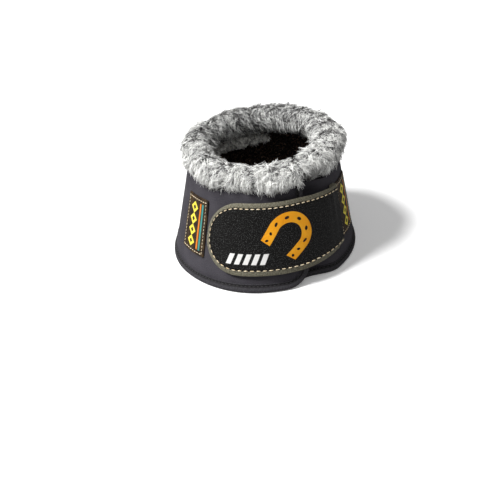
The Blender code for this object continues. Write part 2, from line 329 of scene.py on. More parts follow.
def trim(shape, low, high):
    for x, side in ((low, -1), (high, 1)):
        bmesh.ops.bisect_plane(shape, geom=shape.verts[:] + shape.edges[:] + shape.faces[:], dist=1e-6,
                               plane_co=(x, 0, 0), plane_no=(side, 0, 0), clear_outer=True)
        bmesh.ops.holes_fill(shape, edges=[e for e in shape.edges if e.is_boundary], sides=0)


def markFlat(shape):
    layer = shape.loops.layers.uv.new("flat")
    for face in shape.faces:
        for loop in face.loops:
            loop[layer].uv = (loop.vert.co.x, loop.vert.co.y)


def wrapRound(shape, radius, middle=0.0, dives=True):
    # Bends a flat pattern round the wall: x runs along, y up and z out
    for vert in shape.verts:
        angle = middle + math.degrees(vert.co.x / radius)
        offset = vert.co.z
        if dives and angle < folds[0]:
            offset += dive(angle)
        vert.co = onWall(angle, vert.co.y, offset)


def makePiece(name, shape, finish, smooth=38.0):
    if isinstance(shape, bmesh.types.BMesh):
        bmesh.ops.recalc_face_normals(shape, faces=shape.faces[:])
        mesh = bpy.data.meshes.new(name)
        shape.to_mesh(mesh)
        shape.free()
    else:
        mesh = shape
        mesh.name = name
    mesh.shade_smooth()
    if smooth:
        mesh.set_sharp_from_angle(angle=math.radians(smooth))
    mesh.materials.append(finish.material)
    piece = bpy.data.objects.new(name, mesh)
    bpy.context.scene.collection.objects.link(piece)
    return piece


def sweep(profile, path):
    # Carries a closed profile (in from the edge, out) along a flat path of (x, y, inward x, inward y)
    shape = bmesh.new()
    edge = shape.verts.layers.float.new("fromEdge")
    bmesh.ops.create_grid(shape, x_segments=len(profile), y_segments=len(path) - 1, size=0.5)
    for vert in shape.verts:
        inward, out = profile[round((vert.co.x + 0.5) * len(profile)) % len(profile)]
        x, y, acrossX, acrossY = path[round((vert.co.y + 0.5) * (len(path) - 1))]
        vert.co = (x + acrossX * inward, y + acrossY * inward, out)
        vert[edge] = inward
    bmesh.ops.remove_doubles(shape, verts=shape.verts[:], dist=1e-6)
    bmesh.ops.holes_fill(shape, edges=[e for e in shape.edges if e.is_boundary], sides=0)
    return shape


def march(points, pitch):
    # Evenly spaced places along a flat line, each with its heading
    places, spare = [], pitch / 2
    for one, other in zip(points, points[1:]):
        one, other = Vector(one), Vector(other)
        step = other - one
        while spare <= step.length:
            spot = one + step.normalized() * spare
            places.append((spot.x, spot.y, math.atan2(step.y, step.x)))
            spare += pitch
        spare -= step.length
    return places


def scatter(name, shapes, places):
    # One mesh of many copies of a few small shapes; places are (shape number, matrix)
    points, faces, marks, count = [], [], [], 0
    for number, shape in enumerate(shapes):
        spots = np.array([matrix for which, matrix in places if which == number])
        if not len(spots):
            continue
        local = np.array([(*vert.co, 1.0) for vert in shape.vertices])
        corners = np.array([face.vertices[:] for face in shape.polygons])
        starts = count + len(local) * np.arange(len(spots))
        points.append(np.einsum("mij,nj->mni", spots, local)[..., :3].reshape(-1, 3))
        faces.append((starts[:, None, None] + corners[None]).reshape(-1, 3))
        marks.append(np.tile([loop.uv[:] for loop in shape.uv_layers["flat"].data], (len(spots), 1)))
        count += len(local) * len(spots)
    mesh = bpy.data.meshes.new(name)
    mesh.from_pydata(np.concatenate(points).tolist(), [], np.concatenate(faces).tolist())
    mesh.uv_layers.new(name="flat").data.foreach_set("uv", np.concatenate(marks).ravel())
    return mesh


def smallShape(name, shape):
    bmesh.ops.triangulate(shape, faces=shape.faces[:])
    bmesh.ops.recalc_face_normals(shape, faces=shape.faces[:])
    mesh = bpy.data.meshes.new(name)
    shape.to_mesh(mesh)
    shape.free()
    return mesh


def overlaps(length, low, high):
    return length["low"] < high and length["high"] > low


def dress(name, shape, finish, slot, node, radius=wrap["flatRadius"], middle=0.0, lift=0.0,
          steps=(wrap["columnStep"], wrap["rowStep"]), relief=None):
    # Cuts a flat pattern into the wrap's lengths and bends each one round the wall; a length at either end is
    # hung on its one body
    made = []
    for number, length in enumerate(lengths):
        part = shape.copy()
        trim(part, along(length["low"] - middle, radius), along(length["high"] - middle, radius))
        if not part.faces:
            part.free()
            continue
        for axis, step in enumerate(steps):
            if step:
                cutAcross(part, axis, step)
        if relief:
            for vert in part.verts:
                vert.co.z = relief(vert.co)
        markFlat(part)
        for vert in part.verts:
            vert.co.y += lift
        wrapRound(part, radius, middle)
        piece = makePiece(f"{name}{number}", part, finish)
        carry(piece, length)
        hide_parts(*[f"{node}_{body}" for body in length["bodies"]
                             if f"{node}_{body}" in frame["nodes"]])
        made.append((piece, length))
    shape.free()
    return made


def sew(name, places, out, finish, look, radius=wrap["flatRadius"], middle=0.0):
    # Thread stitches at flat places (x, y, heading), on the lengths of the wrap that carry them
    made = []
    for number, length in enumerate(lengths):
        low, high = along(length["low"] - middle, radius), along(length["high"] - middle, radius)
        spots = [(0, Matrix.Translation((x, y, out)) @ Matrix.Rotation(heading, 4, "Z"))
                 for x, y, heading in places if low <= x < high]
        if spots:
            shape = bmesh.new()
            shape.from_mesh(scatter("stitches", [look], spots))
            wrapRound(shape, radius, middle)
            made.append(makePiece(f"{name}{number}", shape, finish, smooth=None))
            carry(made[-1], length)
    return made


def makeStitch(name, length, thick):
    shape = bmesh.new()
    bmesh.ops.create_uvsphere(shape, u_segments=6, v_segments=5, radius=0.5,
                              matrix=Matrix.Diagonal((thick, thick, length, 1.0)))
    bmesh.ops.rotate(shape, verts=shape.verts[:], matrix=Matrix.Rotation(math.pi / 2, 3, "Y"))
    markFlat(shape)
    return smallShape(name, shape)


print("finishes")


def makeNeoprene():
    finish = Finish("neoprene", roughness=0.85, Specular_IOR_Level=0.2)
    x, y, place = finish.flat()
    knit = ((x * 6800.0).sine() * (y * 5200.0).sine()) * 0.5 + 0.5
    cloud = finish.noise(place, 55.0, 3.0)
    grain = finish.noise(place, 1500.0, 1.0)
    tone = finish.mix(cloud.between(0.3, 0.7), (0.034, 0.031, 0.037), (0.054, 0.050, 0.058))
    tone = finish.mix(grain.between(0.35, 0.75) * 0.45, tone, (0.098, 0.093, 0.106))
    finish.give("Base Color", finish.mix(knit * 0.30, tone, (0.026, 0.024, 0.034)))
    finish.bump(knit * 0.5 + grain * 0.7, 0.00025, 0.8)
    return finish


def makeBinding():
    finish = Finish("binding", roughness=0.80, Specular_IOR_Level=0.25)
    x, y, place = finish.flat()
    twill = ((x + y) * 7000.0).sine() * 0.5 + 0.5
    grain = finish.noise(place, 900.0, 2.0)
    tone = finish.mix(grain.between(0.3, 0.75), (0.026, 0.025, 0.028), (0.056, 0.053, 0.060))
    edge = finish.measure("fromEdge")
    # Painted shade: the binding is darkened in colour along its stitch groove
    groove = 1 - (edge - hem["stitchAt"]).size().between(0.0005, 0.0016)
    finish.give("Base Color", finish.mix(groove * 0.9, tone, (0.008, 0.007, 0.008)))
    finish.bump(twill * 0.6 + grain, 0.0002, 0.8)
    return finish


def makeLining():
    finish = Finish("lining", roughness=0.95)
    place = finish.place()
    nap = finish.noise(place, 420.0, 4.0, 0.65)
    finish.give("Base Color", finish.ramp(nap, [(0.35, (0.006, 0.004, 0.003)), (0.60, (0.022, 0.015, 0.012)),
                                                (0.80, (0.055, 0.042, 0.034))]))
    finish.bump(nap, 0.0012, 0.9)
    return finish


def makePile(name, dark, stops, paintedShade=False):
    # For strands whose flat map holds a random shade and how far out along the strand a point is
    finish = Finish(name, roughness=0.9, Specular_IOR_Level=0.3)
    shade, rise, _ = finish.flat()
    place = finish.place()
    patch = finish.noise(place, 120.0, 2.0)
    fine = finish.noise(place, 700.0, 1.0)
    amount = shade * 0.52 + patch * 0.60 + fine * 0.24 - 0.25
    cover = rise.between(0.05, 0.55)
    if paintedShade:  # painted shade: darker towards the back and below, under the roll
        amount = amount - finish.share(place, 1) * 2.6
        cover = cover * (1 - (1 - finish.share(place, 2).between(0.074, 0.089)) * 0.55)
    finish.give("Base Color", finish.mix(cover, dark, finish.ramp(amount, stops)))
    return finish


def makeStrap():
    finish = Finish("strap", roughness=0.45, Specular_IOR_Level=0.12)
    x, y, place = finish.flat()
    cells = finish.cells(place, 1100.0)
    grain = finish.noise(place, 900.0, 3.0, 0.7)
    speck = finish.noise(place, 1300.0, 1.0).between(0.52, 0.70)
    face = finish.mix(speck * 0.8, (0.0042, 0.0039, 0.0037), (0.072, 0.073, 0.072))
    edge = finish.measure("fromSeam")
    rim = 1 - edge.between(-0.0008, 0.0004)
    margin = finish.mix(grain.between(0.3, 0.7), (0.085, 0.081, 0.056), (0.215, 0.200, 0.150))
    face = finish.mix(rim, face, margin)
    # Painted shade: the sunk stitch line is darkened in colour as well
    groove = 1 - edge.size().between(0.0003, 0.0011)
    face = finish.mix(groove * 0.85, face, (0.006, 0.005, 0.005))
    # A printed horseshoe
    shoe = printed
    shoeX, shoeY = x - along(shoe["angle"], strap["flatRadius"]), y - shoe["height"]
    turn = math.radians(shoe["turn"])
    acrossShoe = shoeX * math.cos(turn) + shoeY * math.sin(turn)
    upShoe = shoeY * math.cos(turn) - shoeX * math.sin(turn)
    crown = upShoe.most(0.0)
    reach = (acrossShoe * acrossShoe + crown * crown).math("SQRT") - upShoe.least(0.0) * shoe["taper"]
    soft = 0.00012
    ring = reach.beyond(shoe["inside"], soft) * reach.within(shoe["outside"], soft)
    ring = ring * upShoe.beyond(shoe["heel"], soft)
    bearing = acrossShoe.math("ARCTAN2", upShoe + shoe["outside"] * 0.45)
    share = (bearing * (shoe["nails"] / math.tau) + 0.5).repeat() - 0.5
    middle = (shoe["inside"] + shoe["outside"]) / 2
    sideways = share * (math.tau / shoe["nails"] * middle)
    nail = (sideways * sideways + (reach - middle) * (reach - middle)).math("SQRT").within(shoe["nail"], soft)
    orange = finish.mix(finish.noise(place, 60.0).between(0.3, 0.7), (0.86, 0.33, 0.012), (0.93, 0.42, 0.022))
    face = finish.mix(ring, face, orange)
    face = finish.mix(ring * nail, face, (0.012, 0.011, 0.011))
    # A row of white slanting bars
    bars = printedBars
    barX, barY = x - along(bars["angle"], strap["flatRadius"]), y - bars["height"]
    step = (barX + barY * bars["slant"]) / bars["pitch"]
    bar = (step.repeat() - 0.5).size().within(bars["share"] / 2, 0.02)
    bar = bar * barY.size().within(bars["tall"] / 2, soft)
    bar = bar * step.between(0.0, 0.001) * (1 - step.between(bars["count"] - 0.001, bars["count"]))
    face = finish.mix(bar, face, (0.80, 0.79, 0.77))
    finish.give("Base Color", face)
    ink = ring.most(bar)
    finish.give("Roughness", 0.50 - speck * 0.10 + rim * 0.06 - ink * 0.10)
    finish.bump((1 - cells) * 0.8 + grain * 0.6 + ink * 0.5 - groove * 2.5, 0.00022, 0.8)
    return finish


def makeLabel():
    finish = Finish("label", roughness=0.6, Specular_IOR_Level=0.2)
    x, y, place = finish.flat()
    weave = ((x * 9000.0).sine() * (y * 9000.0).sine()) * 0.5 + 0.5
    cloud = finish.noise(place, 170.0, 2.0)
    face = finish.mix(cloud.between(0.35, 0.68), (0.016, 0.010, 0.007), (0.060, 0.036, 0.014))
    soft = 0.00015
    # A chain of yellow lozenges beside an orange and a blue-green line
    chain = badge
    bead = ((y / chain["pitch"]).repeat() - 0.5).size() * chain["pitch"]
    lozenge = bead * chain["lean"] + (x - chain["chainAt"]).size()
    inside = lozenge.within(chain["half"], soft)
    hollow = lozenge.within(chain["half"] * chain["hollow"], soft)
    field = y.size().within(chain["reach"], soft)
    face = finish.mix(inside * field, face, (0.88, 0.74, 0.08))
    face = finish.mix(hollow * field, face, (0.030, 0.022, 0.014))
    for at, colour in ((chain["orangeAt"], (0.72, 0.20, 0.02)), (chain["tealAt"], (0.05, 0.28, 0.26))):
        line = (x - at).size().within(chain["line"] / 2, soft)
        face = finish.mix(line * field, face, colour)
    finish.give("Base Color", finish.mix(weave * 0.12, face, (0.010, 0.008, 0.006)))
    finish.bump(weave, 0.00015, 0.8)
    return finish


def makeTape(name, scale, depth, dark, pale):
    finish = Finish(name, roughness=0.88)
    place = finish.place()
    loops = finish.cells(place, scale)
    fuzz = finish.noise(place, scale * 0.6, 3.0)
    finish.give("Base Color", finish.mix(fuzz.between(0.3, 0.7), dark, pale))
    finish.bump((1 - loops) + fuzz, depth, 0.9)
    return finish


def makeThread(name, dark, pale):
    finish = Finish(name, roughness=0.6)
    place = finish.place()
    twist = finish.noise(place, 1900.0, 1.0)
    finish.give("Base Color", finish.mix(twist.between(0.3, 0.7), dark, pale))
    finish.bump(twist, 0.0001, 0.8)
    return finish


def makeFloor():
    finish = Finish("floor", roughness=0.9, Emission_Strength=1.0)
    grain = finish.noise(finish.place(), 9.0, 2.0)
    pale = finish.mix(grain, (0.90, 0.90, 0.90), (0.92, 0.92, 0.92))
    seen = finish.add("ShaderNodeLightPath")
    finish.give("Base Color", finish.mix(seen, (0.32, 0.32, 0.32), pale))
    finish.give("Emission Color", finish.mix(seen, (0.0, 0.0, 0.0), (0.16, 0.16, 0.16)))
    return finish


strapFolds = [("right_front", "strap_near"), ("strap_near", "strap_middle"), ("strap_middle", "strap_tip")]
strap = {
    "flatRadius": 0.0746,
    "tip": -38.5,
    "end": 54.5,
    **heights("strap_face_middle"),
    "narrow": (0.0040, 0.0030),  # how much it narrows below and above, from its middle fold to its sewn end
    "corner": 0.028,
    "inside": 0.0033,  # of the strap's inner face, out from the wall
    "stitchInset": 0.0043,
    "seamShift": (-0.0012, 0.0008),  # the sewn line sits a little left and up on it
    "spare": 0.020,  # past its end, cut off later
    # How thick it is, from its edge inwards
    "top": ((0.0, 0.00105), (0.0005, 0.00135), (0.0025, 0.0017), (0.0060, 0.0019), (0.030, 0.0022)),
    "folds": [foldAngle(*bodies) for bodies in strapFolds],
    "foldReach": (0.0035, 0.012, 0.012),
    "stitchPitch": 0.0046,
    "stitchOut": 0.00205,  # from its inner face
    "stitchEnd": 1.5,  # how far before its end they stop, in degrees
    "lengthEnds": (34.5, 6.0),  # where its face is divided into three
    "steps": (0.0022, 0.0030),
    "turns": 24,  # places along each rounded corner of its stitches
    "slack": 0.00025,  # unevenness of its face
    "slackLength": 0.017,
    "seamStart": -1.0,  # where it begins to sink to its sewn end, from its first fold
    "seamOver": 3.0,
    "seamDrop": 0.0012,
    "creaseAt": -2.6,
    "creaseWidth": 1.1,
    "creaseDepth": 0.0007,
}
hooks = {"inset": 0.0055, "end": 38.0, "corner": 0.002, "low": 0.0018, "high": 0.0030}
printed = {"angle": 13.0, "height": 0.0500, "inside": 0.0098, "outside": 0.0182, "heel": -0.0150,
           "taper": 0.14, "turn": -38.0, "nails": 13, "nail": 0.0012}
printedBars = {"angle": -24.0, "height": 0.0320, "pitch": 0.0064, "share": 0.60, "tall": 0.0090,
               "slant": -0.35, "count": 5}
badge = {
    "angle": 22.4,  # how much of the turn a label takes up
    "flatRadius": 0.0714,
    **heights("label_right_front"),
    "out": 0.0003,
    "thick": 0.0011,
    "corner": 0.0012,
    "stitchInset": 0.0022,
    "stitchPitch": 0.0029,
    "sunk": 0.0001,  # how deep its stitches lie
    "edgeCut": 0.0005,  # where it is cut for its relief, in from its edge
    "grooveCuts": (-0.0007, 0.0, 0.0008),  # and on from its stitches
    "steps": (0.0021, 0.0045),
    "puff": 0.0003,
    "puffOver": 0.0012,
    "groove": 0.00035,
    "grooveWidth": 0.0006,
    "pitch": 0.0098,
    "lean": 0.95,
    "half": 0.0048,
    "hollow": 0.42,
    "chainAt": -0.0024,
    "orangeAt": 0.0054,
    "tealAt": 0.0082,
    "line": 0.0018,
    "reach": 0.0196,
}

hem = {
    "width": 0.0080,
    "thick": 0.0008,
    "round": 0.0020,
    "puff": 0.0008,  # how far it swells between its edge and its stitches
    "stitchAt": 0.0064,
    "pinch": 0.0007,
    "pinchWidth": 0.0006,
    "pitch": 0.0032,
    "pathStep": 0.0028,
    "sunk": 0.0002,  # how deep its stitches lie
}

neoprene = makeNeoprene()
bindingTape = makeBinding()
liningCloth = makeLining()
# The collar's fleece carries painted shade, darker towards the back and below
fleecePile = makePile("fleece", (0.085, 0.083, 0.080), [
    (0.10, (0.075, 0.075, 0.076)), (0.27, (0.300, 0.300, 0.298)), (0.42, (0.640, 0.640, 0.628)),
    (0.58, (0.960, 0.960, 0.930))], paintedShade=True)
# The facing is paler than the collar's fleece: painted light that lifts it out of the shade under the roll
facingPile = makePile("facing", (0.200, 0.195, 0.185), [
    (0.00, (0.350, 0.345, 0.330)), (0.18, (0.820, 0.810, 0.780)), (0.38, (0.980, 0.970, 0.930))])
liningPile = makePile("liningPile", (0.004, 0.003, 0.002), [
    (0.15, (0.020, 0.012, 0.008)), (0.40, (0.085, 0.052, 0.036)), (0.60, (0.300, 0.200, 0.140))])
strapLeather = makeStrap()
labelCloth = makeLabel()
loopTape = makeTape("loopTape", 900.0, 0.0005, (0.008, 0.0075, 0.009), (0.030, 0.028, 0.032))
hookTape = makeTape("hookTape", 700.0, 0.0004, (0.012, 0.012, 0.013), (0.050, 0.050, 0.052))
creamThread = makeThread("creamThread", (0.60, 0.42, 0.20), (0.88, 0.80, 0.62))
blackThread = makeThread("blackThread", (0.010, 0.010, 0.011), (0.035, 0.033, 0.034))
floorPaper = makeFloor()


print("camera and light")

view = {
    "eye": (0.0, -0.4474, 0.2836),
    "right": (0.9967, -0.0201, -0.0784),
    "up": (0.0765, 0.5506, 0.8313),
    "lens": 41.0,
}
camera = bpy.data.objects.new("camera", bpy.data.cameras.new("camera"))
right, up = Vector(view["right"]).normalized(), Vector(view["up"])
back = right.cross(up).normalized()
up = back.cross(right)
turned = Matrix((right, up, back)).transposed().to_4x4()
camera.matrix_world = Matrix.Translation(view["eye"]) @ turned
camera.data.lens = view["lens"]
camera.data.sensor_width = 36.0
camera.data.clip_start = 0.01
bpy.context.scene.collection.objects.link(camera)
bpy.context.scene.camera = camera

ground = bmesh.new()
bmesh.ops.create_grid(ground, x_segments=1, y_segments=1, size=40.0)
floor = makePiece("floor", ground, floorPaper)

lamps = {
    # name: (where it shines from, softness in degrees, strength)
    "key": ((-0.86, -0.30, 1.15), 16.0, 5.1),
    "fill": ((0.15, -0.60, 1.30), 40.0, 0.50),
}
for name, (place, softness, strength) in lamps.items():
    lamp = bpy.data.objects.new(name, bpy.data.lights.new(name, "SUN"))
    lamp.data.angle, lamp.data.energy = math.radians(softness), strength
    lamp.location = place
    lamp.rotation_mode = "QUATERNION"
    lamp.rotation_quaternion = (-Vector(place)).to_track_quat("-Z", "Y")
    bpy.context.scene.collection.objects.link(lamp)

world = bpy.data.worlds.new("world")
world.use_nodes = True
bpy.context.scene.world = world
sky = world.node_tree.nodes["Background"]
seen = world.node_tree.nodes.new("ShaderNodeLightPath")
level = world.node_tree.nodes.new("ShaderNodeMapRange")
# The sky is white to the camera and weaker as a light
level.inputs[3].default_value, level.inputs[4].default_value = 0.20, 1.0
world.node_tree.links.new(seen.outputs["Is Camera Ray"], level.inputs[0])
world.node_tree.links.new(level.outputs[0], sky.inputs["Strength"])
sky.inputs["Color"].default_value = (1.0, 1.0, 1.0, 1.0)
bpy.context.scene.view_settings.view_transform = "Standard"


print("shell and lining")

shellCut = {"edge": 0.0011, "top": 0.094, "areaShare": 0.96, "underTop": heights("shell_under_flap")["high"],
            "underEnd": heights("hem_binding_under_flap")["high"]}
left, right = along(wrap["start"]) + shellCut["edge"], along(wrap["end"]) - shellCut["edge"]
firstFold = along(folds[0])
corners = [(left, shellCut["edge"]), (right, shellCut["edge"]), (right, shellCut["top"]),
           (firstFold, shellCut["top"]), (firstFold, shellCut["underTop"]), (left, shellCut["underEnd"])]
rounds = {0: wrap["startCorner"] - shellCut["edge"], 1: wrap["endCorner"] - shellCut["edge"]}


foam = {"swell": 0.0008, "rise": 0.0065, "riseOver": 0.0045, "fall": 0.0130, "fallOver": 0.0070,
        "rowStep": 0.0024}


def swell(spot):
    # The foam swells a little above the hem's stitches
    if spot.z < -wrap["shell"] / 2:
        return spot.z
    rise = ease((spot.y - foam["rise"]) / foam["riseOver"])
    fall = ease((spot.y - foam["fall"]) / foam["fallOver"])
    return foam["swell"] * rise * (1 - fall)


def layer(name, inner, outer, finish, slot, rowStep, relief=None):
    shape = flatShape(corners, rounds)
    thicken(shape, inner, outer)
    steps = wrap["columnStep"], rowStep
    for piece, length in dress(name, shape, finish, slot, name, relief=relief, steps=steps):
        low, high = max(length["low"], wrap["start"]), min(length["high"], wrap["end"])
        long = math.radians(high - low)
        tall = math.hypot(shellCut["top"], shellCut["top"] * slope)
        middle = (wallRadius(0) + wallRadius(shellCut["top"])) / 2
        long * wallRadius(0)
        long * middle * tall * shellCut["areaShare"]


layer("shell", -wrap["shell"], 0.0, neoprene, "neoprene", foam["rowStep"], swell)
layer("lining", -wallDepth, -wrap["shell"] - wrap["gap"], liningCloth, "lining", wrap["rowStep"])


print("binding")

stitch = makeStitch("stitch", 0.0031, 0.0008)
smallStitch = makeStitch("smallStitch", 0.0022, 0.0006)


def bindingProfile(steps=12, turns=6):
    outside = wrap["gap"] + hem["thick"]
    inside = -wallDepth - outside
    points = [(hem["width"], wrap["gap"])]
    for index in range(steps + 1):
        place = hem["width"] - (hem["width"] - hem["round"]) * index / steps
        rise = hem["puff"] * math.sin(math.pi * min(place / hem["stitchAt"], 1.0))
        rise -= hem["pinch"] * math.exp(-((place - hem["stitchAt"]) / hem["pinchWidth"]) ** 2)
        points.append((place, outside + rise))
    arc = [math.radians(90 * index / turns) for index in range(1, turns + 1)]
    points += [(hem["round"] * (1 - math.sin(turn)), outside - hem["round"] * (1 - math.cos(turn)))
               for turn in arc[:-1]]
    points += [(hem["round"] * (1 - math.cos(turn)), inside + hem["round"] * (1 - math.sin(turn)))
               for turn in arc]
    points += [(hem["width"], inside), (hem["width"], inside + hem["thick"]),
               (hem["thick"], inside + hem["thick"]), (hem["thick"], wrap["gap"])]
    return points


def hemPath(low, high, turns=10):
    # Down the under flap's end, along the hem and up the over flap's end, as (x, y, inward x, inward y)
    left, right = along(wrap["start"]), along(wrap["end"])
    small, large = wrap["startCorner"], wrap["endCorner"]
    arc = [math.radians(90 * index / turns) for index in range(turns)]
    count = round((low - small) / hem["pathStep"])
    path = [(left, low - (low - small) * index / count, 1.0, 0.0) for index in range(count)]
    path += [(left + small * (1 - math.cos(turn)), small * (1 - math.sin(turn)),
              math.cos(turn), math.sin(turn)) for turn in arc]
    straight = right - large - left - small
    count = round(straight / hem["pathStep"])
    path += [(left + small + straight * index / count, 0.0, 0.0, 1.0) for index in range(count)]
    path += [(right - large * (1 - math.sin(turn)), large * (1 - math.cos(turn)),
              -math.sin(turn), math.cos(turn)) for turn in arc]
    count = round((high - large) / hem["pathStep"])
    return path + [(right, large + (high - large) * index / count, -1.0, 0.0) for index in range(count + 1)]


edgePath = hemPath(shellCut["underEnd"], heights("hem_binding_over_flap")["high"])
dress("hemBinding", sweep(bindingProfile(), edgePath), bindingTape, "binding",
      "hem_binding", steps=(None, None))
seam = [(x + acrossX * hem["stitchAt"], y + acrossY * hem["stitchAt"]) for x, y, acrossX, acrossY in edgePath]
sew("hemStitches", march(seam, hem["pitch"]), wrap["gap"] + hem["thick"] - hem["sunk"],
    blackThread, smallStitch)


print("fleece")

collar = {
    "ring": 0.0545,  # radius of the roll's middle line
    "height": 0.0965,
    "droop": 0.0068,  # how much lower it lies at the front
    "push": 0.0016,  # and how much further out
    "core": 0.0105,  # radius of the roll under its pile
    "slim": 0.0014,  # how much slimmer it is at the front
    "notch": 8.0,  # how far from its ends it has no pile below, in degrees
    "start": 32.0,
    "end": 390.0,
    "endRound": 0.0070,
    "lump": 0.0019,
    "lumpLength": 0.019,
    "spacing": 0.00155,  # between tufts
    "low": -72.0,  # where the pile starts on the outer side, in degrees up round the roll
    "high": 262.0,
}
facing = {  # the fleece that comes down inside, behind on the left
    "ring": 0.0518, "height": 0.0795, "droop": 0.0, "push": 0.0, "core": 0.0052, "slim": 0.0, "notch": 0.0,
    "start": 172.0, "end": 292.0, "endRound": 0.030, "lump": 0.0014, "lumpLength": 0.015,
    "spacing": 0.00165, "low": 70.0, "high": 325.0,
}
foldReach = 0.0128  # half the width of a bend in the fleece
strand = {
    "cuts": (-0.12, 0.22),  # where it is divided so that it can curl, as shares of its length
    "tip": 9,  # its foot's width over its tip's radius
    "lengths": (0.70, 1.15), "bends": (0.4, 1.3),
    "aim": 0.32, "sway": 0.16, "scatter": 0.6,  # how unevenly strands point, wave and stand
    "curl": 1.8, "waves": 0.9, "droop": 0.45,
    "sunk": 0.08,  # the share of it below the surface
}
tuft = {"strands": 6, "length": 0.0072, "width": 0.00066, "spread": 0.0012, "bend": 0.85, "kinds": 8}
shortTuft = {"strands": 4, "length": 0.0042, "width": 0.00075, "spread": 0.0012, "bend": 0.7, "kinds": 5}


def makeTuft(name, look, seed):
    # A few wavy, tapering strands that stand in +Z and curl over towards +X
    chance = random.Random(seed)
    shape = bmesh.new()
    layer = shape.loops.layers.uv.new("flat")
    for _ in range(look["strands"]):
        long = look["length"] * chance.uniform(*strand["lengths"])
        made = dict.fromkeys(bmesh.ops.create_cone(shape, cap_ends=True, segments=3, radius1=look["width"] / 2,
                                                   radius2=look["width"] / strand["tip"], depth=long)["verts"])
        for height in strand["cuts"]:
            faces = dict.fromkeys(face for vert in made for face in vert.link_faces)
            edges = dict.fromkeys(edge for vert in made for edge in vert.link_edges)
            cut = bmesh.ops.bisect_plane(shape, geom=[*made, *edges, *faces], plane_co=(0, 0, height * long),
                                         plane_no=(0, 0, 1))
            made |= dict.fromkeys(item for item in cut["geom_cut"] if isinstance(item, bmesh.types.BMVert))
        shade = chance.random()
        bend = look["bend"] * chance.uniform(*strand["bends"])
        aim, sway = chance.gauss(0, strand["aim"]), chance.gauss(0, strand["sway"]) * long
        foot = [chance.gauss(0, strand["scatter"]), chance.gauss(0, strand["scatter"]), 0]
        foot = Vector(foot) * look["spread"]
        for face in dict.fromkeys(face for vert in made for face in vert.link_faces):
            for loop in face.loops:
                loop[layer].uv = (shade, loop.vert.co.z / long + 0.5)
        for vert in made:
            rise = max(0.0, vert.co.z / long + 0.5)
            reach = long * bend * rise ** strand["curl"]
            side = sway * math.sin(math.tau * rise * strand["waves"])
            vert.co.z = long * (rise - strand["sunk"]) * (1 - strand["droop"] * bend * rise)
            vert.co += foot + Vector((math.cos(aim) * reach - math.sin(aim) * side,
                                      math.sin(aim) * reach + math.cos(aim) * side, 0))
    return smallShape(name, shape)


seeds = {"tuft": 0, "shortTuft": 40, "collar": 100, "facing": 200, "inner": 300}
tufts = [makeTuft(f"tuft{kind}", tuft, seeds["tuft"] + kind) for kind in range(tuft["kinds"])]
shortTufts = [makeTuft(f"shortTuft{kind}", shortTuft, seeds["shortTuft"] + kind)
              for kind in range(shortTuft["kinds"])]


pileFlow = {
    "coarse": 0.011, "fine": 0.004, "fineShare": 0.6,  # how large its swirls are
    "clump": 0.0055,
    "lean": 50, "leanSwirl": 30, "leanClump": 16, "leanSpread": 7,  # of its tufts, in degrees
    "thinReach": 0.0105, "thinWidest": 0.065,  # the inner side of a roll is shorter and gets fewer tufts
    "widest": 0.22,  # how much larger tufts are on the outer side
    "sizes": (0.8, 1.2), "clumpSize": 0.30,
    "over": -0.75, "overSwirl": 0.9, "around": -0.15, "aroundSwirl": 1.1,  # which way tufts lean
    "endSize": 0.3,  # no tufts where a roll is thinner than this share of itself
    "above": 0.001,  # they are counted on a surface this far above its core
    "notchTop": 0.5,  # how far up round a roll its notch reaches, in radians
    "fineShift": (5, 5, 5), "clumpShift": (9, 0, 4),  # these keep one swirl from repeating another
}
rollForm = {
    "lowest": -8,  # where a roll sags most, in degrees from the front
    "lumpRing": 0.010,  # how far out from its middle line its lumps are read
    "leastEnd": 0.12,  # the share of its radius that is left at its very ends
    "shade": (0.35, 0.22),  # of its core: a middling shade, low on a strand
}


def lean(normal, flow, amount):
    # A frame that stands on a surface and leans along its flow
    axis = (normal * math.cos(amount) + flow * math.sin(amount)).normalized()
    side = (flow - axis * flow.dot(axis)).normalized()
    return Matrix((side, axis.cross(side), axis)).transposed()


def sag(angle):
    # The roll lies lowest a little left of the front
    return max(0.0, math.cos(math.radians(angle - rollForm["lowest"]))) ** 2


def rollRadius(roll, angle, turn):
    # The roll's own radius, lumpy along its length and rounded off at its two ends
    short = min(angle - roll["start"], roll["end"] - angle)
    reach = math.radians(max(short, 0.0)) * roll["ring"] / roll["endRound"]
    rounded = math.sqrt(max(0.0, 1 - (1 - min(reach, 1.0)) ** 2))
    out = rollForm["lumpRing"]
    spot = onRing(angle, roll["ring"] + out * math.cos(turn), out * math.sin(turn))
    thick = roll["core"] - roll["slim"] * sag(angle)
    return (thick + roll["lump"] * noise.noise(spot / roll["lumpLength"])) * max(rounded, rollForm["leastEnd"])


def onRoll(roll, angle, turn, radius):
    share = sag(angle)
    return onRing(angle, roll["ring"] + roll["push"] * share + radius * math.cos(turn),
                  roll["height"] - roll["droop"] * share + radius * math.sin(turn))


def makeRoll(roll, low, high, rounds=22, step=1.6):
    shape = bmesh.new()
    steps = max(2, round((high - low) / step))
    bmesh.ops.create_grid(shape, x_segments=rounds, y_segments=steps, size=0.5)
    for vert in shape.verts:
        turn = math.tau * (vert.co.x + 0.5)
        angle = low + (high - low) * (vert.co.y + 0.5)
        vert.co = onRoll(roll, angle, turn, rollRadius(roll, angle, turn))
    bmesh.ops.remove_doubles(shape, verts=shape.verts[:], dist=1e-6)
    bmesh.ops.holes_fill(shape, edges=[e for e in shape.edges if e.is_boundary], sides=0)
    layer = shape.loops.layers.uv.new("flat")
    for face in shape.faces:
        for loop in face.loops:
            loop[layer].uv = rollForm["shade"]
    return shape


